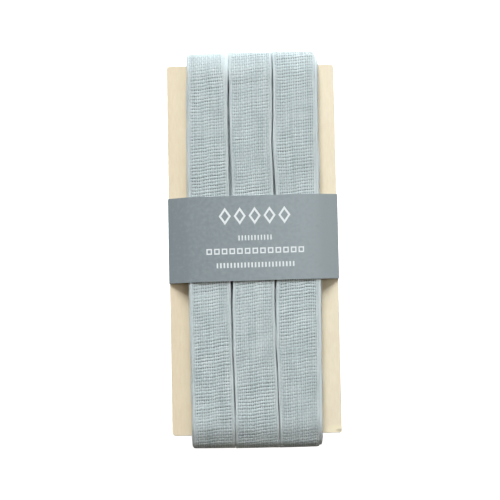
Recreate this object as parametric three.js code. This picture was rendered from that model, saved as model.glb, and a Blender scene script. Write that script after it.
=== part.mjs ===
// A length of cotton ribbon wound flat on a card, with a paper sleeve round its middle.
//
// The part lies on its back, as it would on a table. X runs across the card, Y along it and Z up
// through its thickness. The origin is on the surface that it lies on, below the middle of the
// card. Everything is in millimetres.
//
// Three pieces make it up:
//   card            the flat board that the ribbon is wound on
//   ribbon_winding  the wound ribbon, three columns side by side round both ends of the card
//   paper_sleeve    the paper band over the winding, closed with a lap on the back

import * as THREE from "three";

// Driving dimensions
const CARD = { width: 63.5, length: 139.7, thickness: 1.0, cornerRadius: 0.8 };
const RIBBON = { woundThickness: 0.45, turns: 10 };
const SLEEVE = { centreY: 3.6, height: 32.0, paper: 0.25, skewDegrees: 0.8, lapHalfWidth: 6.0 };

// Space left between two pieces that touch on the real object
const CLEARANCE = 0.3;

// Sizes that follow from the driving dimensions. An offset is a distance from the card's middle
// plane, along the winding's own normal.
const cardHalf = { width: CARD.width / 2, length: CARD.length / 2, thickness: CARD.thickness / 2 };
const innerOffset = cardHalf.thickness + CLEARANCE;
const outerOffset = cardHalf.thickness + RIBBON.turns * RIBBON.woundThickness;
const cardMiddleZ = outerOffset;

// How the winding lies on the front: X of its outer edges and of the two grooves between its
// columns, at several places along the card, because each column wanders a little.
const FRONT_LAY = [
  { y: -70, left: -23.8, firstGroove: -8.25, secondGroove: 8.2, right: 23.1 },
  { y: -57, left: -23.95, firstGroove: -8.4, secondGroove: 7.85, right: 23.1 },
  { y: -38, left: -24.1, firstGroove: -8.8, secondGroove: 7.45, right: 23.2 },
  { y: -15, left: -24.15, firstGroove: -8.8, secondGroove: 7.55, right: 23.45 },
  { y: 21, left: -24.1, firstGroove: -8.7, secondGroove: 7.9, right: 23.9 },
  { y: 39, left: -23.8, firstGroove: -8.85, secondGroove: 7.6, right: 24.0 },
  { y: 54, left: -23.6, firstGroove: -8.8, secondGroove: 7.8, right: 24.1 },
  { y: 70, left: -23.4, firstGroove: -8.5, secondGroove: 8.15, right: 24.2 },
];

// The back is wound the same way, in straighter columns.
const BACK_LAY = [
  { y: -70, left: -23.8, firstGroove: -8.2, secondGroove: 8.2, right: 23.6 },
  { y: 70, left: -23.6, firstGroove: -8.4, secondGroove: 8.1, right: 23.9 },
];

// The three columns, with how far each stays back from the middle one's reach at the card's ends
const COLUMNS = [
  { from: "left", to: "firstGroove", setBack: 0.4 },
  { from: "firstGroove", to: "secondGroove", setBack: 0.0 },
  { from: "secondGroove", to: "right", setBack: 0.1 },
];

// How the outer face is crowned across the winding, and how it swells along it
const CROWN = { front: 0.2, end: 0.35 };
const SWELL = { front: 0.2, end: 0.2 };

// Where the sleeve draws the winding in: half the length of the flat waist, and half that of the
// waist with its ramps
const WAIST = { flatHalf: 17.2, rampHalf: 25.0 };

// Each column's edges roll over, by more at the outer corners of the ends.
const EDGE_ROLL = { drop: 0.3, width: 0.7, steps: 3 };
const CORNER_ROLL = { drop: 1.3, width: 1.6 };

// The groove between two columns, down to the web of crossed turns at its foot
const GROOVE = { mouth: 0.6, foot: 0.3, web: 0.9 };

// Lower turns reach past the top one: how far on each side, and over what share of the height
const SIDE_SPREAD = { left: 0.5, right: 1.2, lowShare: 0.1, highShare: 0.5 };

// Steps round the winding
const STEPS = { front: 26, back: 20, end: 12 };

// The sleeve's folds: how far its front and back panels slope away before each shoulder
const SHOULDER = { inset: 1.0, drop: 0.45 };

// The winding stands only this far out where the sleeve crosses it.
const sleeveInnerFront = outerOffset - SLEEVE.paper;
const waistFront = sleeveInnerFront - CLEARANCE;
const waistBack = outerOffset - 2 * SLEEVE.paper - CLEARANCE;

const { lerp, clamp, smoothstep, degToRad } = THREE.MathUtils;

// One row of a lay table at y, on straight lines between the rows that it holds.
function layAt(table, y) {
  const place = clamp(y, table[0].y, table[table.length - 1].y);
  const upper = Math.max(1, table.findIndex((row) => row.y >= place));
  const [below, above] = [table[upper - 1], table[upper]];
  return layBetween(below, above, (place - below.y) / (above.y - below.y));
}

// The row that lies between two rows of lay, at a share of the way.
function layBetween(a, b, share) {
  const row = {};
  for (const key of Object.keys(a)) row[key] = lerp(a[key], b[key], share);
  return row;
}

// How far the sleeve draws the winding in at y: 1 under it, 0 well clear of it.
function waistShare(y) {
  return 1 - smoothstep(Math.abs(y - SLEEVE.centreY), WAIST.flatHalf, WAIST.rampHalf);
}

// One step along the front or the back. endShare is 0 on a face and 1 at the far end of the turn.
function stationOnFace(side, y) {
  const front = side === "front";
  const waist = waistShare(y);
  const slack = front ? SWELL.front * Math.sin((Math.PI * Math.abs(y)) / cardHalf.length) ** 2 : 0;
  return {
    y,
    normal: new THREE.Vector2(0, front ? 1 : -1),
    top: lerp(outerOffset + slack, front ? waistFront : waistBack, waist),
    crown: front ? CROWN.front * (1 - waist) : 0,
    endShare: 0,
    lay: layAt(front ? FRONT_LAY : BACK_LAY, y),
  };
}

// One step of the half turn round an end. turn runs from 0 at the front face to 1 at the back.
function stationOnEnd(endSign, turn) {
  const angle = Math.PI * turn;
  const y = endSign * cardHalf.length;
  const endShare = Math.sin(angle);
  return {
    y,
    normal: new THREE.Vector2(endSign * endShare, Math.cos(angle)),
    top: outerOffset + SWELL.end * endShare,
    crown: lerp(CROWN.front * (1 - turn), CROWN.end, endShare),
    endShare,
    lay: layBetween(layAt(FRONT_LAY, y), layAt(BACK_LAY, y), turn),
  };
}

// Every station of the winding in order: up the front, round the top end, down the back and round
// the bottom end.
function windingStations() {
  const span = cardHalf.length;
  const stations = [];
  for (let i = 0; i < STEPS.front; i++) {
    stations.push(stationOnFace("front", lerp(-span, span, i / STEPS.front)));
  }
  for (let i = 0; i < STEPS.end; i++) stations.push(stationOnEnd(1, i / STEPS.end));
  for (let i = 0; i < STEPS.back; i++) {
    stations.push(stationOnFace("back", lerp(span, -span, i / STEPS.back)));
  }
  for (let i = 0; i < STEPS.end; i++) stations.push(stationOnEnd(-1, 1 - i / STEPS.end));
  return stations;
}

// Outline of one column's outer face between its two edges, as points of X and offset. Each edge
// is a quarter of an ellipse.
function columnFace(left, right, leftRoll, rightRoll, offsetAt) {
  const points = [];
  for (let i = 0; i <= EDGE_ROLL.steps; i++) {
    const angle = (Math.PI / 2) * (i / EDGE_ROLL.steps);
    const x = left + leftRoll.width * (1 - Math.cos(angle));
    points.push([x, offsetAt(x) - leftRoll.drop * (1 - Math.sin(angle))]);
  }
  const middle = (left + right) / 2;
  points.push([middle, offsetAt(middle)]);
  for (let i = EDGE_ROLL.steps; i >= 0; i--) {
    const angle = (Math.PI / 2) * (i / EDGE_ROLL.steps);
    const x = right - rightRoll.width * (1 - Math.cos(angle));
    points.push([x, offsetAt(x) - rightRoll.drop * (1 - Math.sin(angle))]);
  }
  return points;
}

// The outline of the winding across one station, as points of X and offset, in order round it.
function windingSection({ top, crown, endShare, lay }) {
  const reach = Math.max(-lay.left, lay.right);
  const heightAt = (share) => lerp(innerOffset, top, share);
  const cornerRoll = {
    drop: lerp(EDGE_ROLL.drop, CORNER_ROLL.drop, endShare),
    width: lerp(EDGE_ROLL.width, CORNER_ROLL.width, endShare),
  };
  const web = innerOffset + GROOVE.web;
  const outline = [
    [lay.right, innerOffset],
    [lay.left, innerOffset],
    [lay.left - SIDE_SPREAD.left, heightAt(SIDE_SPREAD.lowShare)],
    [lay.left - SIDE_SPREAD.left, heightAt(SIDE_SPREAD.highShare)],
  ];
  COLUMNS.forEach(({ from, to, setBack }, i) => {
    const first = i === 0;
    const last = i === COLUMNS.length - 1;
    const left = lay[from] + (first ? 0 : GROOVE.mouth / 2);
    const right = lay[to] - (last ? 0 : GROOVE.mouth / 2);
    const offsetAt = (x) => top - crown * (x / reach) ** 2 - setBack * endShare;
    const [leftRoll, rightRoll] = [first ? cornerRoll : EDGE_ROLL, last ? cornerRoll : EDGE_ROLL];
    outline.push(...columnFace(left, right, leftRoll, rightRoll, offsetAt));
    if (!last) outline.push([lay[to] - GROOVE.foot / 2, web], [lay[to] + GROOVE.foot / 2, web]);
  });
  outline.push(
    [lay.right + SIDE_SPREAD.right, heightAt(SIDE_SPREAD.highShare)],
    [lay.right + SIDE_SPREAD.right, heightAt(SIDE_SPREAD.lowShare)],
  );
  return outline;
}

// A closed ring of equal sections, joined by two triangles for each side of each section.
function ringGeometry(sections) {
  const perSection = sections[0].length;
  const positions = sections.flat().flatMap((point) => point.toArray());
  const index = [];
  sections.forEach((_, i) => {
    const here = i * perSection;
    const next = ((i + 1) % sections.length) * perSection;
    for (let j = 0; j < perSection; j++) {
      const k = (j + 1) % perSection;
      index.push(here + j, next + k, next + j, here + j, here + k, next + k);
    }
  });
  const geometry = new THREE.BufferGeometry();
  geometry.setAttribute("position", new THREE.Float32BufferAttribute(positions, 3));
  geometry.setIndex(index);
  geometry.computeVertexNormals();
  return geometry;
}

// The wound ribbon: its section at each station, set about the card's middle plane.
function ribbonWinding() {
  const sections = windingStations().map((station) => {
    const { y, normal } = station;
    return windingSection(station).map(
      ([x, offset]) => new THREE.Vector3(x, y + offset * normal.x, cardMiddleZ + offset * normal.y),
    );
  });
  const cotton = new THREE.MeshStandardMaterial({ color: 0xb7c3c4, roughness: 0.95, metalness: 0 });
  return named("ribbon_winding", ringGeometry(sections), cotton);
}

// The board: a thin slab with slightly rounded corners.
function card() {
  const r = CARD.cornerRadius;
  const corner = { x: cardHalf.width - r, y: cardHalf.length - r };
  const outline = new THREE.Shape();
  outline.absarc(corner.x, corner.y, r, 0, Math.PI / 2);
  outline.absarc(-corner.x, corner.y, r, Math.PI / 2, Math.PI);
  outline.absarc(-corner.x, -corner.y, r, Math.PI, 1.5 * Math.PI);
  outline.absarc(corner.x, -corner.y, r, 1.5 * Math.PI, 2 * Math.PI);
  const geometry = new THREE.ExtrudeGeometry(outline, {
    depth: CARD.thickness,
    bevelEnabled: false,
    curveSegments: 4,
  });
  geometry.translate(0, 0, cardMiddleZ - cardHalf.thickness);
  const board = new THREE.MeshStandardMaterial({ color: 0xf0e5c9, roughness: 0.85, metalness: 0 });
  return named("card", geometry, board);
}

// Outline of the sleeve's section on one face of the paper, as X and Z. out is how far that face
// lies outside the paper's inner one. Behind, the left half of the paper laps over the right half.
function sleeveOutline(out) {
  const edge = cardHalf.width + CLEARANCE + out;
  const foldUp = cardMiddleZ + innerOffset + out / 2;
  const foldDown = cardMiddleZ - innerOffset - out / 2;
  const crossing = layAt(FRONT_LAY, SLEEVE.centreY + SLEEVE.height / 2);
  const left = crossing.left - CLEARANCE - out;
  const right = crossing.right + CLEARANCE + out;
  const front = cardMiddleZ + sleeveInnerFront + out;
  const backOnRight = SLEEVE.paper - out;
  const backOnLeft = 2 * SLEEVE.paper - out;
  const step = out > 0 ? -SLEEVE.lapHalfWidth : SLEEVE.lapHalfWidth;
  return [
    [edge, foldUp],
    [right, front - SHOULDER.drop],
    [right - SHOULDER.inset, front],
    [left + SHOULDER.inset, front],
    [left, front - SHOULDER.drop],
    [-edge, foldUp],
    [-edge, foldDown],
    [left, backOnLeft + SHOULDER.drop],
    [left + SHOULDER.inset, backOnLeft],
    [step, backOnLeft],
    [step, backOnRight],
    [right - SHOULDER.inset, backOnRight],
    [right, backOnRight + SHOULDER.drop],
    [edge, foldDown],
  ].map(([x, z]) => new THREE.Vector2(x, z));
}

// The paper sleeve: its section run along the card, then set a little askew, as it was slipped on.
function paperSleeve() {
  const section = new THREE.Shape(sleeveOutline(SLEEVE.paper));
  section.holes.push(new THREE.Path(sleeveOutline(0)));
  const geometry = new THREE.ExtrudeGeometry(section, { depth: SLEEVE.height, bevelEnabled: false });
  geometry.rotateX(Math.PI / 2);
  geometry.translate(0, SLEEVE.centreY + SLEEVE.height / 2, 0);
  const skew = Math.tan(degToRad(SLEEVE.skewDegrees));
  geometry.applyMatrix4(new THREE.Matrix4().makeShear(skew, 0, 0, 0, 0, 0));
  const paper = new THREE.MeshStandardMaterial({ color: 0x919b9f, roughness: 0.8, metalness: 0 });
  return named("paper_sleeve", geometry, paper);
}

// A mesh under its piece's name.
function named(name, geometry, material) {
  const mesh = new THREE.Mesh(geometry, material);
  mesh.name = name;
  return mesh;
}

const cardedRibbon = new THREE.Group();
cardedRibbon.add(card(), ribbonWinding(), paperSleeve());

export default cardedRibbon;
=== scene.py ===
"""The looks of a carded cotton ribbon: woven turns, cream board, printed paper sleeve and a studio."""

import logging
import math
from collections.abc import Callable, Sequence
from dataclasses import dataclass, field
from enum import Enum
from functools import partial

import bpy
import numpy as np
from mathutils import Euler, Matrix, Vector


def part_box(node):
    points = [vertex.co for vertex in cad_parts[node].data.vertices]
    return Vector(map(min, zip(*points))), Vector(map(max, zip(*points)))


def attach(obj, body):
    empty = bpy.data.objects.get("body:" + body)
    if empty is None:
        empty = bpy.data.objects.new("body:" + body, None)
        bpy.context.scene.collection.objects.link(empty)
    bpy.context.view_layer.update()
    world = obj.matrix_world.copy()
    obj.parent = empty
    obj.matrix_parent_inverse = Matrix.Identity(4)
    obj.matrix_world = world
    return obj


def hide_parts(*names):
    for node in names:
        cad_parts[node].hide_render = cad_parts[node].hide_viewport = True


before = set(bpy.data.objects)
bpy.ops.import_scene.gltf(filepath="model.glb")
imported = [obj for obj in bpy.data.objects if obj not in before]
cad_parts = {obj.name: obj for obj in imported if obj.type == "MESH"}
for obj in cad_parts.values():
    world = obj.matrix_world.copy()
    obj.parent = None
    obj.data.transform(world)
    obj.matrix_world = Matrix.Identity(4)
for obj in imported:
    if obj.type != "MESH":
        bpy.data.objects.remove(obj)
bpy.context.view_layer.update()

MM = 0.001
ROOT = "root"

YARN_MAP = "yarn_mm"
BAKE_MAP = "OFBake"
WAVE_PER_REPEAT = 2 * math.pi / 20  # Blender's Wave texture repeats this often for a scale of one.

log = logging.getLogger("carded_ribbon")

Array = np.ndarray
Object = bpy.types.Object
Material = bpy.types.Material
Tree = bpy.types.NodeTree
Node = bpy.types.Node
Socket = bpy.types.NodeSocket


class Slot(Enum):
    """The record's material slots."""

    BOARD = "board"
    COTTON = "cotton"
    PAPER = "paper"


def linear(hex_colour: str) -> tuple[float, float, float, float]:
    """Turns an sRGB hex colour into the linear values that a shader takes.

    Args:
        hex_colour: six hex digits after a hash sign.

    Returns:
        Linear red, green and blue, and an alpha of one.
    """
    channels = [int(hex_colour[i : i + 2], 16) / 255 for i in (1, 3, 5)]
    rgb = [c / 12.92 if c <= 0.04045 else ((c + 0.055) / 1.055) ** 2.4 for c in channels]
    return (rgb[0], rgb[1], rgb[2], 1.0)


def per_metre(pitch_mm: float) -> float:
    """Pattern scale, in repeats a metre, of a repeat that is so many millimetres long."""
    return 1.0 / (pitch_mm * MM)


def fill_sockets(tree: Tree, node: Node, sockets: dict[str | int, object]) -> None:
    """Links a node's inputs, by name or number, to a node's first output or a socket, or sets them."""
    for key, value in sockets.items():
        source = value.outputs[0] if isinstance(value, Node) else value
        if isinstance(source, Socket):
            tree.links.new(source, node.inputs[key])
        else:
            node.inputs[key].default_value = source


def add_node(
    tree: Tree, kind: str, sockets: dict[str | int, object] | list[object], **settings: object
) -> Node:
    """Adds one node with its settings and links.

    Args:
        tree: the node tree to add to.
        kind: Blender's name of the node type, without ShaderNode in front.
        sockets: what fills its inputs, by name or number, or in order in a list.
        settings: its properties by name, and a ramp's stops as positions with hex colours.

    Returns:
        The new node.
    """
    node = tree.nodes.new("ShaderNode" + kind)
    stops = settings.pop("stops", ())
    for name, value in settings.items():
        setattr(node, name, value)
    if stops:
        elements = node.color_ramp.elements
        while len(elements) < len(stops):
            elements.new(1.0)
        for element, (position, colour) in zip(elements, stops):
            element.position = position
            element.color = linear(colour)
    fill_sockets(tree, node, dict(enumerate(sockets)) if isinstance(sockets, list) else sockets)
    return node


def new_material(name: str) -> tuple[Material, Tree, Node]:
    """An empty material, its tree, and its Principled shader joined to the output."""
    material = bpy.data.materials.new(name)
    material.use_nodes = True
    tree = material.node_tree
    shader = next(node for node in tree.nodes if node.type == "BSDF_PRINCIPLED")
    return material, tree, shader


@dataclass(frozen=True)
class CottonYarn:
    """Soft spun cotton yarn, piece-dyed pale blue-grey, as woven into the ribbon.

    Short fibres make it matt, with a faint sheen at grazing angles. The dye takes a little unevenly,
    and the ply shows as fine slanting lines. Real fibres are about 0.02 mm wide, too fine to show, so
    they are drawn at 0.09 mm.
    """

    name: str = "woven_cotton_weft"
    deep: str = "#ADBBBC"
    mid: str = "#C0CCCD"
    pale: str = "#D0DADA"
    roughness: float = 0.92
    roughness_range: float = 0.1
    sheen: float = 0.25
    sheen_roughness: float = 0.5
    dye_patch_mm: float = 6.0
    slub_mm: float = 0.7
    streak_mm: float = 0.8
    streak_share: float = 0.03
    ply_mm: float = 0.5
    ply_uneven: float = 1.5
    fibre_mm: float = 0.09
    ply_depth_mm: float = 0.02

    def material(self) -> Material:
        """Builds the yarn's material. It reads millimetres along and round the yarn from its map."""
        material, tree, shader = new_material(self.name)
        add = partial(add_node, tree)
        place = add("TexCoord", []).outputs["Object"]
        squash = (1.0, self.streak_share, self.streak_share)
        drawn = add("Mapping", {"Vector": place, "Scale": squash})
        patches, slubs, streaks, fibres = (
            add("TexNoise", {"Vector": spot, "Scale": per_metre(size), "Detail": detail})
            for spot, size, detail in (
                (place, self.dye_patch_mm, 2.0),
                (place, self.slub_mm, 2.0),
                (drawn, self.streak_mm, 1.0),
                (place, self.fibre_mm, 3.0),
            )
        )
        dye = add("Math", [patches, 0.4], operation="MULTIPLY")
        for pattern, weight in ((streaks, 0.4), (slubs, 0.2)):
            dye = add("Math", [pattern, weight, dye], operation="MULTIPLY_ADD")
        stops = [(0.3, self.deep), (0.5, self.mid), (0.68, self.pale)]
        yarn_map = add("UVMap", [], uv_map=YARN_MAP)
        scale = WAVE_PER_REPEAT * per_metre(self.ply_mm) * MM
        wave = {"Vector": yarn_map, "Scale": scale, "Distortion": self.ply_uneven}
        ply = add("TexWave", wave, wave_type="BANDS", bands_direction="DIAGONAL").outputs["Fac"]
        relief = add("Math", [ply, fibres], operation="ADD")
        lowest = self.roughness - self.roughness_range / 2
        finish = {
            "Base Color": add("ValToRGB", {"Fac": dye}, stops=stops),
            "Normal": add("Bump", {"Height": relief, "Distance": self.ply_depth_mm * MM, "Strength": 0.6}),
            "Roughness": add("Math", [fibres, self.roughness_range, lowest], operation="MULTIPLY_ADD"),
            "Sheen Weight": self.sheen,
            "Sheen Roughness": self.sheen_roughness,
        }
        fill_sockets(tree, shader, finish)
        return material


@dataclass(frozen=True)
class CottonTurn:
    """The same cotton where it lies under the top turn, drawn as a plain weave on a strip.

    Rows of picks stand out between darker furrows, crossed by fine warp lines, all as painted shade and
    highlight in the colour. The body is painted deep shade, as it shows only through the gaps of the turn
    above, and the close selvedge is smooth and pale.
    """

    name: str = "woven_cotton_turn"
    # Painted shade: furrow, body and crest are all darker than the yarn, shade painted on the turns seen
    # through the gaps above.
    furrow_shade: str = "#7C8889"
    body: str = "#97A3A4"
    crest_shade: str = "#A5B1B2"
    selvedge: str = "#D4DEDF"
    selvedge_mm: float = 1.65
    roughness: float = 0.95
    sheen: float = 0.2
    relief_mm: float = 0.12

    def material(self, pick_mm: float, end_mm: float) -> Material:
        """Builds the strip's material.

        Args:
            pick_mm: spacing of the weft picks.
            end_mm: spacing of the warp ends.

        Returns:
            The material, which reads millimetres along the strip and in from its edge off its map.
        """
        material, tree, shader = new_material(self.name)
        add = partial(add_node, tree)
        axes = add("SeparateXYZ", [add("UVMap", [], uv_map=YARN_MAP)]).outputs
        weave: object = 0.5
        for axis, pitch_mm, weight in ((axes[0], pick_mm, 0.12), (axes[1], end_mm, 0.15)):
            turned = add("Math", [axis, 2 * math.pi / pitch_mm], operation="MULTIPLY")
            rows = add("Math", [turned], operation="COSINE")
            weave = add("Math", [rows, weight, weave], operation="MULTIPLY_ADD")
        # The weave's rows and warp lines are painted as darker furrows and lighter crests: painted shade and
        # highlight of the relief.
        stops = [(0.15, self.furrow_shade), (0.55, self.body), (0.9, self.crest_shade)]
        woven = add("ValToRGB", {"Fac": weave}, stops=stops)
        inside = add("Math", [axes[1], self.selvedge_mm], operation="GREATER_THAN")
        colours = {"Factor": inside, 6: linear(self.selvedge), 7: woven}
        relief = {"Height": weave, "Distance": self.relief_mm * MM, "Strength": 0.8}
        finish = {
            "Base Color": add("Mix", colours, data_type="RGBA").outputs[2],
            "Normal": add("Bump", relief),
            "Roughness": self.roughness,
            "Sheen Weight": self.sheen,
        }
        fill_sockets(tree, shader, finish)
        return material


@dataclass(frozen=True)
class ManilaBoard:
    """Uncoated cream manila board, die cut.

    Calendered pulp gives it a smooth matt face with a faint grain along the sheet, and the cut edge
    is paler and rougher. One corner is knocked, with a small grey bruise in a rubbed patch. The board's
    fibres and tooth are really under 0.05 mm, and are drawn coarser so that they show.
    """

    name: str = "uncoated_manila_board"
    shade: str = "#EBDABB"
    light: str = "#F9EDD2"
    edge: str = "#EFE6D2"
    # Painted light: how much paler the face grows per millimetre to the right, for light falling stronger
    # from the right.
    painted_light_per_mm: float = 0.006
    bruise: str = "#D2C7AF"
    rubbed: str = "#FFF3D2"
    roughness: float = 0.8
    roughness_range: float = 0.15
    cloud_mm: float = 18.0
    fibre_mm: float = 0.8
    tooth_mm: float = 0.15
    fibre_stretch: float = 5.0
    tooth_depth_mm: float = 0.02
    bruise_at: tuple[float, float, float] = (31.0, -68.9, 5.5)
    bruise_mm: float = 2.4
    rub_stretch: float = 2.6

    def material(self) -> Material:
        """Builds the material of the board's faces and edges."""
        material, tree, shader = new_material(self.name)
        add = partial(add_node, tree)
        place = add("TexCoord", []).outputs["Object"]
        along = add("Mapping", {"Vector": place, "Scale": (1.0, 1 / self.fibre_stretch, 1.0)})
        clouds, fibres, tooth = (
            add("TexNoise", {"Vector": spot, "Scale": per_metre(size), "Detail": detail, "Roughness": rough})
            for spot, size, detail, rough in (
                (place, self.cloud_mm, 3.0, 0.5),
                (along, self.fibre_mm, 5.0, 0.6),
                (place, self.tooth_mm, 4.0, 0.5),
            )
        )
        tone = add("Math", [clouds, 0.4], operation="MULTIPLY")
        # Painted light: the board's tone grows paler towards the right.
        rightward = add("SeparateXYZ", [place]).outputs["X"]
        for pattern, weight in ((fibres, 0.6), (rightward, self.painted_light_per_mm / MM)):
            tone = add("Math", [pattern, weight, tone], operation="MULTIPLY_ADD")
        clean = add("ValToRGB", {"Fac": tone}, stops=[(0.2, self.shade), (0.8, self.light)])
        face = self.knocked(add, place, fibres, clean)
        facing = add("NewGeometry", []).outputs["Normal"]
        upward = add("SeparateXYZ", [facing]).outputs["Z"]
        upright = add("Math", [upward], operation="ABSOLUTE")
        on_edge = add("Math", [upright, 0.5], operation="LESS_THAN")
        colours = {"Factor": on_edge, 6: face, 7: linear(self.edge)}
        relief = add("Math", [tooth, fibres], operation="ADD")
        bump = {"Height": relief, "Distance": self.tooth_depth_mm * MM, "Strength": 0.5}
        lowest = self.roughness - 0.07
        finish = {
            "Base Color": add("Mix", colours, data_type="RGBA").outputs[2],
            "Normal": add("Bump", bump),
            "Roughness": add("Math", [tooth, self.roughness_range, lowest], operation="MULTIPLY_ADD"),
        }
        fill_sockets(tree, shader, finish)
        return material

    def knocked(self, add: Callable[..., Node], place: Socket, fibres: Node, clean: Node) -> Socket:
        """The face's colour with the knocked corner laid over it.

        Args:
            add: what adds a node to the tree.
            place: where the point is, in metres.
            fibres: the grain, which frays the patch's edge.
            clean: the colour of the clean face.

        Returns:
            The colour's output socket.
        """
        squash = (1 / self.rub_stretch, 1.0, 1.0)
        corner = tuple(value * share * MM for value, share in zip(self.bruise_at, squash))
        rubbed_along = add("Mapping", {"Vector": place, "Scale": squash})
        away = add("VectorMath", [rubbed_along, corner], operation="DISTANCE").outputs["Value"]
        reach = add("Math", [away, self.bruise_mm * MM], operation="DIVIDE")
        mark = add("ValToRGB", {"Fac": reach}, stops=[(0.1, self.bruise), (0.3, self.rubbed)])
        frayed = add("Math", [fibres, 0.8, reach], operation="MULTIPLY_ADD")
        fade = {"Value": frayed, "From Min": 0.8, "From Max": 1.6}
        kept = add("MapRange", fade, interpolation_type="SMOOTHSTEP")
        colours = {"Factor": kept, 6: mark, 7: clean}
        return add("Mix", colours, data_type="RGBA").outputs[2]


class MarkShape(Enum):
    """A mark's shape, as the operation that joins how far a point is across and up from its middle."""

    LOZENGE = "ADD"
    BOX = "MAXIMUM"


@dataclass(frozen=True)
class MarkRow:
    """One row of like marks, all sizes in millimetres. height is where the row lies above the middle.

    open_share is the share of a mark, from its middle out, that is left in the print's grey.
    """

    shape: MarkShape
    height: float
    pitch: float
    half_run: float
    half_width: float
    half_height: float
    open_share: float = 0.0


@dataclass(frozen=True)
class SleeveOrnament:
    """A generic ornament: open lozenges over a row of short bars, open squares and more bars."""

    rows: tuple[MarkRow, ...] = (
        MarkRow(MarkShape.LOZENGE, 8.4, 5.6, 14.0, 2.3, 3.3, open_share=0.6),
        MarkRow(MarkShape.BOX, 0.1, 1.2, 6.6, 0.25, 0.95),
        MarkRow(MarkShape.BOX, -4.8, 2.88, 18.72, 1.05, 1.1, open_share=0.55),
        MarkRow(MarkShape.BOX, -10.1, 1.3, 14.95, 0.3, 0.95),
    )

    def mask(self, add: Callable[..., Node], across: Node, level: Node) -> Node:
        """One where the ornament is, and zero elsewhere.

        Args:
            add: what adds a node to the tree.
            across: millimetres across the panel from its middle.
            level: millimetres above the panel's middle.

        Returns:
            The mask's node.
        """
        first, *others = (self._marks(add, across, level, row) for row in self.rows)
        for marks in others:
            first = add("Math", [first, marks], operation="MAXIMUM")
        return first

    @staticmethod
    def _marks(add: Callable[..., Node], across: Node, level: Node, row: MarkRow) -> Node:
        """One inside a row's marks but for their open middles, within its run; see mask for the rest."""
        wrapped = add("Math", [across, row.pitch / 2, -row.pitch / 2], operation="WRAP")
        risen = add("Math", [level, row.height], operation="SUBTRACT")
        shares = []
        for away, half_size in ((wrapped, row.half_width), (risen, row.half_height)):
            size = add("Math", [away], operation="ABSOLUTE")
            shares.append(add("Math", [size, half_size], operation="DIVIDE"))
        reach = add("Math", shares, operation=row.shape.value)
        run = add("Math", [across], operation="ABSOLUTE")
        inside = add("Math", [reach, 1.0], operation="LESS_THAN")
        for value, limit, operation in (
            (reach, row.open_share, "GREATER_THAN"),
            (run, row.half_run, "LESS_THAN"),
        ):
            passed = add("Math", [value, limit], operation=operation)
            inside = add("Math", [inside, passed], operation="MULTIPLY")
        return inside


@dataclass(frozen=True)
class PrintedPaper:
    """Uncoated text paper printed solid grey, with a white ornament left open in the print.

    The ink sinks in, so it is matt with a slight mottle, and the print is painted paler towards the right,
    as painted light falling stronger from the right.
    The paper's tooth is really under 0.05 mm, and is drawn coarser so that it shows.
    """

    name: str = "uncoated_paper_printed_grey"
    ink_deep: str = "#879195"
    ink_pale: str = "#9FA9AC"
    open_paper: str = "#EEF2F2"
    roughness: float = 0.72
    roughness_range: float = 0.12
    mottle_mm: float = 1.4
    # Painted light: how much paler the print grows per millimetre to the right.
    painted_light_per_mm: float = 0.0095
    tooth_mm: float = 0.2
    tooth_depth_mm: float = 0.012
    front_from: float = 0.9

    def material(self, ornament: SleeveOrnament, centre: tuple[float, float], lean: float) -> Material:
        """Builds the paper's material.

        Args:
            ornament: what is left white in the print.
            centre: X and Y of the printed panel's middle, in millimetres.
            lean: slope of the print's rows, as rise over run.

        Returns:
            The material.
        """
        material, tree, shader = new_material(self.name)
        add = partial(add_node, tree)
        place = add("TexCoord", []).outputs["Object"]
        mottle, tooth = (
            add("TexNoise", {"Vector": place, "Scale": per_metre(size), "Detail": 4.0})
            for size in (self.mottle_mm, self.tooth_mm)
        )
        across, along = (
            add("Math", [add("Math", [axis, MM], operation="DIVIDE"), middle], operation="SUBTRACT")
            for axis, middle in zip(add("SeparateXYZ", [place]).outputs, centre)
        )
        faint = add("Math", [mottle, 0.6, 0.2], operation="MULTIPLY_ADD")
        # Painted light: the ink's tone grows paler towards the right, over its real mottle.
        ink_mottle_and_light = add("Math", [across, self.painted_light_per_mm, faint], operation="MULTIPLY_ADD")
        ink = add("ValToRGB", {"Fac": ink_mottle_and_light}, stops=[(0.22, self.ink_deep), (0.7, self.ink_pale)])
        level = add("Math", [across, -lean, along], operation="MULTIPLY_ADD")
        facing = add("NewGeometry", []).outputs["Normal"]
        upward = add("SeparateXYZ", [facing]).outputs["Z"]
        in_front = add("Math", [upward, self.front_from], operation="GREATER_THAN")
        mask = add("Math", [ornament.mask(add, across, level), in_front], operation="MULTIPLY")
        colours = {"Factor": mask, 6: ink, 7: linear(self.open_paper)}
        relief = {"Height": tooth, "Distance": self.tooth_depth_mm * MM, "Strength": 0.5}
        lowest = self.roughness - self.roughness_range / 2
        finish = {
            "Base Color": add("Mix", colours, data_type="RGBA").outputs[2],
            "Normal": add("Bump", relief),
            "Roughness": add("Math", [tooth, self.roughness_range, lowest], operation="MULTIPLY_ADD"),
        }
        fill_sockets(tree, shader, finish)
        return material


def new_object(name: str, data: bpy.types.ID) -> Object:
    """Makes an object of a mesh, lamp or camera and puts it in the scene."""
    made = bpy.data.objects.new(name, data)
    bpy.context.scene.collection.objects.link(made)
    return made


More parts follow.
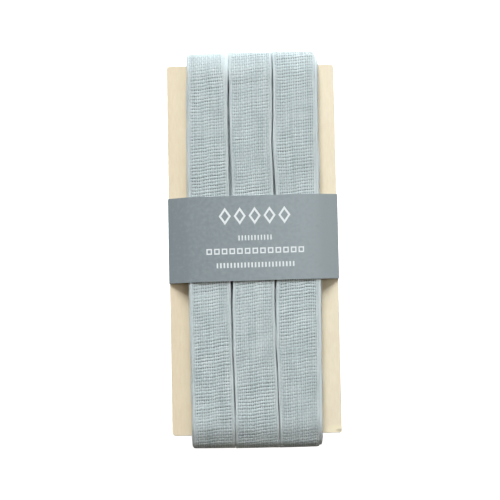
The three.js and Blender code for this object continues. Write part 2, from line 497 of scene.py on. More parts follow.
def solid_of_rings(
    name: str, rings: list[Array], caps: list[list[int]], material: Material, crease_degrees: float
) -> Object:
    """Makes a closed skin over rings of points.

    Args:
        name: the piece's name.
        rings: closed rings of as many points each, in millimetres.
        caps: faces that close the first and the last ring.
        material: its finish.
        crease_degrees: edges that bend more than this stay sharp.

    Returns:
        The new object.
    """
    grid = np.arange(sum(len(ring) for ring in rings)).reshape(len(rings), -1)
    beside = np.roll(grid, -1, axis=1)
    sides = np.stack([grid[:-1], beside[:-1], beside[1:], grid[1:]], axis=-1).reshape(-1, 4)
    mesh = bpy.data.meshes.new(name)
    mesh.from_pydata((np.concatenate(rings) * MM).tolist(), [], sides.tolist() + caps)
    mesh.materials.append(material)
    mesh.polygons.foreach_set("use_smooth", np.ones(len(mesh.polygons), dtype=bool))
    mesh.set_sharp_from_angle(angle=math.radians(crease_degrees))
    return new_object(name, mesh)


@dataclass
class MeshParts:
    """Vertices in millimetres, faces and maps, gathered before they become one object."""

    vertices: list[Array] = field(default_factory=list)
    quads: list[Array] = field(default_factory=list)
    yarn_uv: list[Array] = field(default_factory=list)
    bake_uv: list[Array] = field(default_factory=list)
    count: int = 0

    def add_grid(self, points: Array, yarn_uv: Array, bake_uv: Array) -> None:
        """Adds a grid that closes on itself both ways, such as a ring of tube.

        Args:
            points: rows by columns by three, without the repeated last row and column.
            yarn_uv: (rows + 1) by (columns + 1) by two, in millimetres.
            bake_uv: the same shape, from 0 to 1.
        """
        rows, columns = points.shape[:2]
        row, column = np.meshgrid(np.arange(rows), np.arange(columns), indexing="ij")
        next_row, next_column = (row + 1) % rows, (column + 1) % columns
        corners = [(row, column), (row, next_column), (next_row, next_column), (next_row, column)]
        index = np.stack([r * columns + c for r, c in corners], axis=-1).reshape(-1, 4)
        self.quads.append(index + self.count)
        self.vertices.append(points.reshape(-1, 3))
        self.count += rows * columns
        steps = [(0, 0), (0, 1), (1, 1), (1, 0)]
        for store, uv in ((self.yarn_uv, yarn_uv), (self.bake_uv, bake_uv)):
            store.append(np.stack([uv[row + r, column + c] for r, c in steps], axis=2).reshape(-1, 2))

    def build(self, name: str, material: Material) -> Object:
        """Makes the smooth-shaded object.

        Args:
            name: the piece's name.
            material: its finish.

        Returns:
            The new object.
        """
        mesh = bpy.data.meshes.new(name)
        vertices = np.concatenate(self.vertices) * MM
        quads = np.concatenate(self.quads)
        mesh.vertices.add(len(vertices))
        mesh.vertices.foreach_set("co", vertices.astype(np.float32).ravel())
        mesh.loops.add(quads.size)
        mesh.loops.foreach_set("vertex_index", quads.astype(np.int32).ravel())
        mesh.polygons.add(len(quads))
        mesh.polygons.foreach_set("loop_start", np.arange(0, quads.size, 4, dtype=np.int32))
        mesh.polygons.foreach_set("use_smooth", np.ones(len(quads), dtype=bool))
        mesh.update(calc_edges=True)
        for map_name, store in ((BAKE_MAP, self.bake_uv), (YARN_MAP, self.yarn_uv)):
            layer = mesh.uv_layers.new(name=map_name)
            layer.data.foreach_set("uv", np.concatenate(store).astype(np.float32).ravel())
        mesh.validate()
        mesh.materials.append(material)
        return new_object(name, mesh)


def report(piece: Object) -> None:
    """Logs a finished piece and how many faces it has."""
    log.info("%s: %d faces", piece.name, len(piece.data.polygons))


def smooth_step(value: Array, low: float, high: float) -> Array:
    """Rises smoothly from 0 at low to 1 at high."""
    share = np.clip((value - low) / (high - low), 0.0, 1.0)
    return share * share * (3 - 2 * share)


# How the ribbon lies at some Y: X of its left edge, of its two grooves and of its right edge, and the
# grooves' widths, all in millimetres. The front follows the photograph and the back is made up.
FRONT_LAY = (
    (-70, -23.9, -8.2, 8.3, 23.1, 0.2, 0.2),
    (-57, -24.05, -8.3, 8.0, 23.25, 0.4, 0.4),
    (-38, -24.15, -8.7, 7.57, 23.5, 0.5, 0.5),
    (-22, -24.2, -8.8, 7.52, 23.7, 0.75, 0.7),
    (-15, -24.3, -8.6, 7.75, 23.8, 0.9, 0.75),
    (21, -24.3, -8.35, 8.15, 23.9, 1.35, 0.85),
    (39, -24.2, -8.6, 7.6, 24.0, 0.9, 0.65),
    (54, -24.05, -8.67, 8.05, 24.1, 0.7, 0.5),
    (62, -23.95, -8.47, 8.15, 24.15, 0.6, 0.5),
    (69, -23.7, -8.4, 8.3, 24.4, 0.0, 0.35),
)
BACK_LAY = (
    (-70, -24.0, -8.25, 8.2, 23.2, 0.05, 0.05),
    (0, -24.2, -8.4, 7.9, 23.8, 0.6, 0.6),
    (70, -23.9, -8.4, 8.1, 23.9, 0.0, 0.45),
)
LAST_EDGE = 3


@dataclass(frozen=True)
class Column:
    """One of the three columns, in millimetres.

    edge is the number of its left edge in the lay, and its right edge is the next. set_back is how far
    it stays back at the ends. corner_drop is how far an edge on the winding's outside rolls off at the
    top end, and side_drop how far along the faces. askew is how far the top turn's right edge is drawn
    aside where it goes over the top end.
    """

    name: str
    edge: int
    set_back: float
    corner_drop: float
    side_drop: float
    askew: float = 0.0

    @property
    def outside(self) -> tuple[bool, bool]:
        """Whether its left and its right edge are on the winding's outside."""
        return self.edge == 0, self.edge + 1 == LAST_EDGE


COLUMNS = (
    Column("left", 0, 0.3, 0.15, 0.2, askew=1.5),
    Column("middle", 1, 0.0, 0.0, 0.2),
    Column("right", 2, -0.2, 0.9, 0.05),
)


@dataclass
class WindingForm:
    """The wound form round the card, in millimetres: where a turn at some depth lies, all the way round.

    s runs along the top turn: up the front, round the top end, down the back and round the bottom end.
    """

    half_length: float
    middle_z: float
    outer: float
    inner: float
    waist_y: float
    waist_front: float
    waist_back: float
    waist_half: float = 16.0
    ramp_half: float = 34.0
    shoulder_run: float = 5.2
    shoulder_drop: float = 0.73
    crown_front: float = 0.2
    crown_end: float = 0.15
    swell_end: float = 0.2
    edge_drop: float = 0.22
    edge_width: float = 1.1
    edge_limit: float = 1.2
    inner_corner_drop: float = 0.06
    foot_corner_drop: float = 0.3
    foot_set_back_share: float = 0.4
    corner_width: float = 1.3
    turn_thickness: float = 0.44
    askew_run: float = 11.0
    askew_hold: float = 12.0
    askew_fade: float = 38.0
    table_size: int = 6000

    def __post_init__(self) -> None:
        """Measures the top turn along its face, so that s counts true millimetres."""
        straight = 2 * self.half_length
        bend = math.pi * (self.outer - self.turn_thickness / 2)
        plain = np.linspace(0.0, 2 * (straight + bend), self.table_size)
        second, third, fourth = straight, straight + bend, 2 * straight + bend
        y = self.half_length * np.interp(plain, [0.0, second, third, fourth], [-1.0, 1.0, 1.0, -1.0])
        angle = math.pi * np.interp(plain, [second, third, fourth, plain[-1]], [0.0, 1.0, 1.0, 2.0])
        offset = self._top_at(y, angle)
        points = np.column_stack([y + offset * np.sin(angle), offset * np.cos(angle)])
        steps = np.linalg.norm(np.diff(points, axis=0), axis=1)
        self.run = np.concatenate([[0.0], np.cumsum(steps)])
        self.run_y, self.run_angle = y, angle
        self.loop_length = float(self.run[-1])
        tangent = np.gradient(points, axis=0)
        self.run_tilt = np.unwrap(np.arctan2(-tangent[:, 1], tangent[:, 0]))

    def course(self, s: Array) -> tuple[Array, Array]:
        """Y of the card's line under s, and the angle of the spoke from there to the face."""
        s = np.mod(s, self.loop_length)
        return np.interp(s, self.run, self.run_y), np.interp(s, self.run, self.run_angle)

    def lay(self, edge: int, s: Array) -> tuple[Array, Array]:
        """X of one of the lay's edges at s, and the width of the groove there, which is 0 outside."""
        y, angle = self.course(s)
        behind = (1 - np.cos(angle)) / 2
        found = 0.0
        for rows, share in ((FRONT_LAY, 1 - behind), (BACK_LAY, behind)):
            place, *values = np.array([(*row[:5], 0.0, *row[5:], 0.0) for row in rows]).T
            pair = values[edge], values[edge + LAST_EDGE + 1]
            found = found + share * np.stack([np.interp(y, place, value) for value in pair])
        return found[0], found[1]

    def edges(self, column: Column, s: Array) -> tuple[Array, Array]:
        """X of a column's two edges at s."""
        left, left_gap = self.lay(column.edge, s)
        right, right_gap = self.lay(column.edge + 1, s)
        return left + left_gap / 2, right - right_gap / 2

    def top(self, s: Array) -> Array:
        """Offset of the winding's outer face from the card's middle plane."""
        return self._top_at(*self.course(s))

    def _top_at(self, y: Array, angle: Array) -> Array:
        """The same offset, for a Y and a spoke's angle."""
        behind = (1 - np.cos(angle)) / 2
        end = np.abs(np.sin(angle))
        waist = 1 - smooth_step(np.abs(y - self.waist_y), self.waist_half, self.ramp_half)
        shoulder = np.clip((np.abs(y) - self.half_length + self.shoulder_run) / self.shoulder_run, 0.0, 1.0)
        lean_in = 2 * self.shoulder_drop / self.shoulder_run * (self.outer - self.shoulder_drop)
        drop = self.shoulder_drop * shoulder**2 * (1 - end**2) + lean_in * end * (1 - end**2) ** 2
        free = self.outer + self.swell_end * end - drop
        drawn = self.waist_front * (1 - behind) + self.waist_back * behind
        return free * (1 - waist) + drawn * waist

    def fall(self, column: Column, s: Array, x: Array) -> Array:
        """How far the face falls below top at X: its crown, set-back and rolled edges."""
        _, angle = self.course(s)
        behind = (1 - np.cos(angle)) / 2
        end = np.abs(np.sin(angle))
        left, right = self.edges(column, s)
        reach = np.maximum(-self.lay(0, s)[0], self.lay(LAST_EDGE, s)[0])
        crown = (self.crown_front * (1 - behind) * (1 - end) + self.crown_end * end) * (x / reach) ** 2
        total = crown + column.set_back * end * np.where(np.sin(angle) > 0, 1.0, self.foot_set_back_share)
        corner_drop = np.where(np.sin(angle) > 0, column.corner_drop, self.foot_corner_drop)
        for edge_distance, outside in zip((x - left, right - x), column.outside):
            side_drop = column.side_drop if outside else self.edge_drop
            end_drop = corner_drop if outside else self.inner_corner_drop
            drop = side_drop + (end_drop - side_drop) * end
            width = self.edge_width + (self.corner_width - self.edge_width) * end
            total = total + drop * np.clip(1 - edge_distance / width, 0.0, self.edge_limit) ** 2
        return total

    def place(self, s: Array, x: Array, offset: Array) -> Array:
        """Points at X and a distance from the card's middle plane, with s along the loop."""
        y, angle = self.course(s)
        z = self.middle_z + offset * np.cos(angle)
        return np.stack(np.broadcast_arrays(x, y + offset * np.sin(angle), z), axis=-1)

    def normal(self, s: Array) -> Array:
        """Unit normals of the winding's face at s."""
        tilt = np.interp(np.mod(s, self.loop_length), self.run, self.run_tilt)
        return np.stack([np.zeros_like(tilt), np.sin(tilt), np.cos(tilt)], axis=-1)

    def aside(self, s: Array) -> Array:
        """How far the askew turn is drawn aside at s, from 0 to 1."""
        past_end = np.mod(s, self.loop_length) - 2 * self.half_length
        drawn = smooth_step(past_end, -self.askew_run, 0.0)
        return drawn * (1 - smooth_step(past_end, self.askew_hold, self.askew_hold + self.askew_fade))


def wander(
    random: np.random.Generator, place: Array, length: float, size: float, waves: Sequence[int]
) -> Array:
    """A smooth random drift that closes on itself over a length.

    Args:
        random: where the random phases come from.
        place: where the drift is wanted, along the length.
        length: the length over which it repeats.
        size: the drift's usual size.
        waves: how many waves each of its parts has over the length.

    Returns:
        The drift at each place.
    """
    total = np.zeros_like(place)
    for count in waves:
        phase = random.uniform(0, 2 * math.pi)
        total = total + np.sin(2 * math.pi * count * place / length + phase)
    return size * total / math.sqrt(len(waves) / 2)


# Points round a yarn's section, as shares of half its width and of half its height.
PICK_SECTION = ((1.0, -0.3), (0.72, 0.75), (0.0, 1.0), (-0.72, 0.75), (-1.0, -0.3), (0.0, -1.0))
END_SECTION = ((1.0, 0.0), (0.5, 0.87), (-0.5, 0.87), (-1.0, 0.0), (0.0, -1.0))


@dataclass
class Strand:
    """A closed run of yarn: its path, its sizes in millimetres, and its section's points.

    A section's point is given as shares of half the width and of half the height. The yarn is drawn
    with most of its points on top, as its underside is never seen.
    """

    path: Array
    normal: Array
    half_width: Array
    half_height: Array
    section: tuple[tuple[float, float], ...]

    def grid(self) -> Array:
        """Points of the yarn's skin, one row for each point of the path."""
        tangent = np.roll(self.path, -1, axis=0) - np.roll(self.path, 1, axis=0)
        side = np.cross(tangent, self.normal)
        side /= np.linalg.norm(side, axis=1, keepdims=True)
        up = np.cross(side, tangent)
        up /= np.linalg.norm(up, axis=1, keepdims=True)
        shares = np.array(self.section[::-1])
        across = self.half_width[:, None] * shares[:, 0]
        rise = self.half_height[:, None] * shares[:, 1]
        return self.path[:, None, :] + across[..., None] * side[:, None, :] + rise[..., None] * up[:, None, :]

    def yarn_uv(self) -> Array:
        """Millimetres along and round the yarn at each point of the grid, closed both ways."""
        steps = np.linalg.norm(np.roll(self.path, -1, axis=0) - self.path, axis=1)
        along = np.concatenate([[0.0], np.cumsum(steps)])
        girth = 2 * math.pi * float(np.mean(self.half_width + self.half_height)) / 2
        around = np.linspace(0.0, girth, len(self.section) + 1)
        return np.stack(np.meshgrid(along, around, indexing="ij"), axis=-1)


@dataclass
class WovenTurn:
    """The top turn of one column, woven yarn by yarn: plain weave with close-set warp at both edges.

    Sizes are in millimetres. The weft is one unbroken yarn that turns back round the outermost end
    at each side. The warp ends are closed loops round the card.
    """

    form: WindingForm
    column: Column
    seed: int
    pick_pitch: float = 1.19
    end_pitch: float = 0.85
    selvedge_ends: int = 2
    selvedge_pitch: float = 0.42
    selvedge_inset: float = 0.28
    pick_half_width: float = 0.48
    pick_half_height: float = 0.05
    end_half_width: float = 0.19
    end_half_height: float = 0.075
    selvedge_end_half_width: float = 0.24
    narrowing: float = 0.4
    narrow_span: tuple[float, float] = (0.5, 1.6)
    pick_crimp: float = 0.02
    end_crimp: float = 0.03
    end_lift: float = 0.016
    end_stand: float = 0.012
    selvedge_lift: float = 0.05
    rise: float = 1.5
    even_rise: float = 0.45
    level_edge: float = 2.0
    ripple: float = 0.08
    ripple_length: float = 6.5
    ripple_drift: float = 2.0
    pick_jitter: float = 0.035
    end_jitter: float = 0.05
    slub: float = 0.06
    askew_left_share: float = 0.2
    drift: float = 0.16
    end_drift: float = 0.04
    bend_width: float = 0.4
    bend_out: tuple[float, float, float] = (0.1, 0.16, 0.1)
    bend_along: tuple[float, float, float] = (0.22, 0.5, 0.78)

    def __post_init__(self) -> None:
        """Sets out the picks and ends."""
        self.random = np.random.default_rng(self.seed)
        length = self.form.loop_length
        self.picks = 2 * round(length / self.pick_pitch / 2)
        even = np.arange(self.picks) * length / self.picks
        self.pick_s = even + self.random.normal(0, self.pick_jitter, self.picks)
        left, right = self.form.edges(self.column, np.linspace(0, length, 200))
        self.width = float(np.mean(right - left))
        edge = self.selvedge_inset + self.selvedge_pitch * np.arange(self.selvedge_ends)
        body_from = edge[-1] + (self.selvedge_pitch + self.end_pitch) / 2
        body_count = round((self.width - 2 * body_from) / self.end_pitch) + 1
        body = np.linspace(body_from, self.width - body_from, body_count)
        body = body + self.random.normal(0, self.end_jitter, body_count)
        self.ends = np.concatenate([edge, body, self.width - edge[::-1]])
        place = np.arange(len(self.ends))
        self.in_selvedge = np.minimum(place, place[::-1]) < self.selvedge_ends
        self.drift_seed = int(self.random.integers(1 << 30))

    def lean(self, u: Array) -> Array:
        """How far a pick has risen along s at u, level near both edges."""
        share = np.clip((u - self.level_edge / 2) / (self.width - self.level_edge), 0.0, 1.0)
        eased = share * share * (3 - 2 * share)
        return self.rise * (self.even_rise * share + (1 - self.even_rise) * eased - 0.5)

    def wave(self, u: Array, s: Array) -> Array:
        """Slow waves of the picks along s, which differ a little from edge to edge."""
        random = np.random.default_rng(self.drift_seed)
        length = self.form.loop_length
        near, far, bow = (
            wander(random, s, length, self.drift, waves) for waves in ((4, 7, 11), (3, 8, 10), (3, 5, 9))
        )
        share = u / self.width
        phase = wander(random, s, length, self.ripple_drift, (3, 5, 8))
        ripple = np.sin(2 * math.pi * u / self.ripple_length + phase)
        return near * (1 - share) + far * share + bow * np.sin(math.pi * share) + self.ripple * ripple

    def edges(self, s: Array) -> tuple[Array, Array]:
        """X of the turn's two edges at s, with the right one drawn aside over the top end."""
        left, right = self.form.edges(self.column, s)
        drawn = self.column.askew * self.form.aside(s)
        return left - self.askew_left_share * drawn, right - drawn

    def point(self, u: Array, s: Array, height: Array) -> Array:
        """Points at u across and s along the turn, at a height above its middle surface."""
        left, right = self.edges(s)
        x = left + (right - left) * u / self.width
        offset = self.form.top(s) - self.form.turn_thickness / 2 - self.form.fall(self.column, s, x) + height
        return self.form.place(s, x, offset)

    def weft(self) -> Strand:
        """The weft: every pick in turn, with a short bend round the outermost end between two picks."""
        count, length = len(self.ends), self.form.loop_length
        u_row = np.empty(2 * count - 1)
        u_row[0::2], u_row[1::2] = self.ends, (self.ends[1:] + self.ends[:-1]) / 2
        pick = np.arange(self.picks)[:, None]
        forward = pick % 2 == 0
        u = np.where(forward, u_row, u_row[::-1])
        crossing = np.zeros_like(u)
        order = np.where(forward, np.arange(count), np.arange(count)[::-1])
        crossing[:, 0::2] = np.where((order + pick) % 2 == 0, -1.0, 1.0)
        narrowed = smooth_step(np.minimum(u, self.width - u), *self.narrow_span)
        out = np.array(self.bend_out) * self.selvedge_inset
        bend_u = np.where(forward, self.ends[-1] + out, self.ends[0] - out)
        here = self.pick_s[:, None]
        bend_s = here + np.array(self.bend_along) * (np.append(here[1:], here[:1] + length, axis=0) - here)
        u, s, height, width = (
            np.hstack([row, bend]).ravel()
            for row, bend in (
                (u, bend_u),
                (here + np.zeros_like(u), bend_s),
                (crossing * self.pick_crimp, np.zeros_like(bend_u)),
                (1 - self.narrowing * (1 - narrowed), np.full_like(bend_u, self.bend_width)),
            )
        )
        s = s + self.lean(u) + self.wave(u, s)
        slub = 1 + wander(self.random, np.arange(len(u)), len(u), self.slub, (61, 149, 337))
        wide, thick = self.pick_half_width * width * slub, self.pick_half_height * np.sqrt(slub)
        return Strand(self.point(u, s, height), self.form.normal(s), wide, thick, PICK_SECTION)

    def warp(self) -> list[Strand]:
        """The warp ends, each a closed loop that passes over and under the picks."""
        strands = []
        length = self.form.loop_length
        following = np.append(self.pick_s[1:], self.pick_s[0] + length)
        s_row = np.empty(2 * self.picks)
        s_row[0::2], s_row[1::2] = self.pick_s, (self.pick_s + following) / 2
        for j, end in enumerate(self.ends):
            u = end + wander(self.random, s_row, length, self.end_drift, (7, 15, 31))
            s = s_row + self.lean(u) + self.wave(u, s_row)
            crossing = np.zeros(len(s_row))
            crossing[0::2] = np.where((j + np.arange(self.picks)) % 2 == 0, 1.0, -1.0)
            slub = 1 + wander(self.random, s_row, length, self.slub, (23, 41, 67))
            half_width, lift = (
                (self.selvedge_end_half_width, self.selvedge_lift)
                if self.in_selvedge[j]
                else (self.end_half_width, self.end_lift)
            )
            height = lift + crossing * self.end_crimp + self.random.uniform(-1, 1) * self.end_stand
            path, thick = self.point(u, s, height), np.full(len(s), self.end_half_height)
            strands.append(Strand(path, self.form.normal(s), half_width * slub, thick, END_SECTION))
        return strands

    def build(self, weft: Material, warp: Material) -> list[Object]:
        """Makes the weft and the warp as two pieces.

        Args:
            weft: the weft yarn's finish.
            warp: the warp yarn's finish.

        Returns:
            The two pieces.
        """
        pieces = []
        for kind, material, strands in (("weft", weft, [self.weft()]), ("warp", warp, self.warp())):
            parts = MeshParts()
            for i, strand in enumerate(strands):
                points = strand.grid()
                parts.add_grid(points, strand.yarn_uv(), self.bake_uv(points.shape, i, len(strands)))
            pieces.append(parts.build(f"{self.column.name}_column_top_{kind}", material))
        return pieces

    def bake_uv(self, shape: tuple[int, ...], index: int, count: int) -> Array:
        """A flat map of one strand: in rows of picks for the weft, in one strip for each warp end."""
        rows, columns = shape[:2]
        around = np.linspace(0.05, 0.95, columns + 1)
        step = np.arange(rows + 1)
        lanes = self.picks if count == 1 else count
        lane_length = rows / lanes if count == 1 else rows
        lane = np.minimum(step // lane_length, lanes - 1) if count == 1 else np.full(rows + 1, index)
        along = (step - lane * lane_length) / lane_length if count == 1 else step / rows
        u, v = np.broadcast_arrays(along[:, None], (lane[:, None] + around[None, :]) / lanes)
        return np.stack([u, v], axis=-1)


@dataclass
class LowerTurns:
    """The turns under the top one of a column: thin strips whose edges show at the sides and grooves.

    Each point of section says how far across the strip it is measured from, as a share of the width,
    how far in from there it lies in millimetres, and its height as a share of half the thickness.
    """

    form: WindingForm
    column: Column
    seed: int
    turns: int = 9
    sheet_below: float = 0.33
    fill: float = 0.82
    stations: int = 260
    left_reach: float = 0.3
    right_reach: float = 1.2
    spread_span: tuple[float, float] = (0.8, 1.4)
    askew_reach: float = 0.12
    groove_share: float = 1.4
    groove_depth_share: float = 0.3
    edge_jitter: float = 0.13
    scallop: float = 0.05
    section: tuple[tuple[float, float, float], ...] = (
        (0.0, 0.0, 0.0),
        (0.0, 0.12, 0.8),
        (0.0, 0.5, 1.0),
        (0.5, 0.0, 1.0),
        (1.0, 0.5, 1.0),
        (1.0, 0.12, 0.8),
        (1.0, 0.0, 0.0),
        (1.0, 0.12, -0.8),
        (0.5, 0.0, -1.0),
        (0.0, 0.12, -0.8),
    )

    def reach(self, index: int, s: Array) -> tuple[Array, Array]:
        """How far a turn stands out past the top one's two edges: into the grooves, or at the sides."""
        form = self.form
        depth_share = (index + 0.5) / self.turns
        spread = 1 - smooth_step(np.array(depth_share), *self.spread_span)
        lift = np.sin(form.course(s)[1])
        shut = max(0.0, 1 - depth_share / self.groove_depth_share)
        meet = self.groove_share * np.maximum(np.abs(lift), shut)
        sides = (self.left_reach * (1 - np.maximum(lift, 0.0)), self.right_reach * spread)
        left, right = (
            side if outside else meet * form.lay(self.column.edge + i, s)[1] / 2
            for i, (side, outside) in enumerate(zip(sides, self.column.outside))
        )
        return left, right + self.askew_reach * self.column.askew * form.aside(s)

    def strip(self, index: int, random: np.random.Generator) -> tuple[Array, Array, Array]:
        """One turn as a grid of rounded sections.

        Args:
            index: which turn, counted out from the card.
            random: where its edges' wander comes from.

        Returns:
            Its points, its map in millimetres and its bake map within 0 to 1.
        """
        form, length = self.form, self.form.loop_length
        s = np.arange(self.stations) * length / self.stations
        pitch = (form.top(s) - self.sheet_below - form.inner) / self.turns
        left, right = form.edges(self.column, s)
        reach_left, reach_right = self.reach(index, s)
        ripple = self.scallop * np.where(np.arange(self.stations) % 2 == 0, 1.0, -1.0)
        left = left - reach_left + wander(random, s, length, self.edge_jitter, (2, 5, 9, 17)) + ripple
        right = right + reach_right + wander(random, s, length, self.edge_jitter, (2, 4, 11, 19)) + ripple
        half = self.fill * pitch / 2
        middle = form.inner + pitch * (index + 0.5)
        columns, edge_distance = [], []
        for share, inset, rise in self.section:
            x = left + share * (right - left) + (1 - 2 * share) * inset
            fall = form.fall(self.column, s, x) * (index + 1) / self.turns
            columns.append(form.place(s, x, middle + rise * half - fall))
            edge_distance.append(np.minimum(x - left, right - x))
        points = np.stack(columns, axis=1)
        inward = np.stack(edge_distance + edge_distance[:1], axis=1)
        along = np.arange(self.stations + 1)[:, None] * length / self.stations
        yarn_uv = np.stack(np.broadcast_arrays(along, np.concatenate([inward, inward[:1]])), axis=-1)
        bake_v = (index + np.linspace(0.05, 0.95, inward.shape[1])) / self.turns
        bake_uv = np.stack(np.broadcast_arrays(along / length, bake_v[None, :]), axis=-1)
        return points, yarn_uv, bake_uv

    def build(self, material: Material) -> Object:
        """Makes the column's lower turns as one piece."""
        random = np.random.default_rng(self.seed)
        parts = MeshParts()
        for index in range(self.turns):
            parts.add_grid(*self.strip(index, random))
        return parts.build(f"{self.column.name}_column_lower_turns", material)


def node_box_mm(node: str) -> tuple[Array, Array]:
    """Lowest and highest corner of a node of the frame, in millimetres."""
    low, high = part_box(node)
    return np.array(low) / MM, np.array(high) / MM


@dataclass
class RibbonWinding:
    """The wound ribbon: for each column a woven top turn over a stack of plain lower turns."""

    card_low: Array
    card_high: Array
    winding_low: Array
    sleeve_low: Array
    sleeve_high: Array
    sleeve_paper: float
    seeds: tuple[int, ...] = (61, 67, 71)
    front_gap: float = 0.05
    back_gap: float = 0.15
    card_gap: float = 0.05

    def form(self) -> WindingForm:
        """The wound form, worked out from the frame's boxes."""
        middle = float(self.card_low[2] + self.card_high[2]) / 2
        half_card = float(self.card_high[2] - self.card_low[2]) / 2
        outer = middle - float(self.winding_low[2])
        return WindingForm(
            half_length=float(self.card_high[1]),
            middle_z=middle,
            outer=outer,
            inner=half_card + self.card_gap,
            waist_y=float(self.sleeve_low[1] + self.sleeve_high[1]) / 2,
            waist_front=float(self.sleeve_high[2]) - middle - self.sleeve_paper - self.front_gap,
            waist_back=outer - 2 * self.sleeve_paper - self.back_gap,
        )

    def build(self) -> list[Object]:
        """Makes every column and hides the frame's plain winding."""
        form = self.form()
        weft = CottonYarn().material()
        # The warp takes paler colours than the weft of the same cotton: a painted highlight along the warp
        # ends.
        warp = CottonYarn("woven_cotton_warp", "#BFCBCC", "#D2DCDC", "#E0E8E8").material()
        turn = CottonTurn().material(WovenTurn.pick_pitch, WovenTurn.selvedge_pitch)
        pieces = []
        for column, seed in zip(COLUMNS, self.seeds):
            pieces += WovenTurn(form, column, seed).build(weft, warp)
            pieces.append(LowerTurns(form, column, seed).build(turn))
        for piece in pieces:
            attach(piece, ROOT)
            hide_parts("ribbon_winding")
            report(piece)
        return pieces


@dataclass
class Board:
    """The card: a thin board with die-cut corners and softened edges, in millimetres."""

    low: Array
    high: Array
    corner_radii: tuple[float, float, float, float] = (1.0, 1.1, 1.3, 0.8)
    corner_steps: int = 8
    edge_ease: float = 0.14
    ease_share: float = 0.3
    crease_degrees: float = 15.0

    def ring(self, inset: float, z: float) -> Array:
        """The board's outline at a height, from its top right corner round, drawn in by an inset."""
        corners = [(1, 1, 0.0), (-1, 1, 0.5), (-1, -1, 1.0), (1, -1, 1.5)]
        half = (self.high - self.low)[:2] / 2
        middle = (self.high + self.low)[:2] / 2
        points = []
        for (x_sign, y_sign, start), radius in zip(corners, self.corner_radii):
            centre = middle + np.array([x_sign, y_sign]) * (half - radius)
            angles = math.pi * (start + 0.5 * np.arange(self.corner_steps + 1) / self.corner_steps)
            points.append(centre + (radius - inset) * np.column_stack([np.cos(angles), np.sin(angles)]))
        outline = np.concatenate(points)
        return np.column_stack([outline, np.full(len(outline), z)])

    def build(self) -> Object:
        """Makes the board and hides the frame's plain one."""
        ease, low_z, high_z = self.edge_ease, float(self.low[2]), float(self.high[2])
        steps = [(ease, 0.0), (ease * self.ease_share, ease * self.ease_share), (0.0, ease)]
        rings = [self.ring(inset, low_z + rise) for inset, rise in steps]
        rings += [self.ring(inset, high_z - rise) for inset, rise in reversed(steps)]
        count = len(rings[0])
        under = list(reversed(range(count)))
        over = list(range((len(rings) - 1) * count, len(rings) * count))
        finish = ManilaBoard().material()
        piece = solid_of_rings("card_board", rings, [under, over], finish, self.crease_degrees)
        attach(piece, ROOT)
        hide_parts("card")
        report(piece)
        return piece


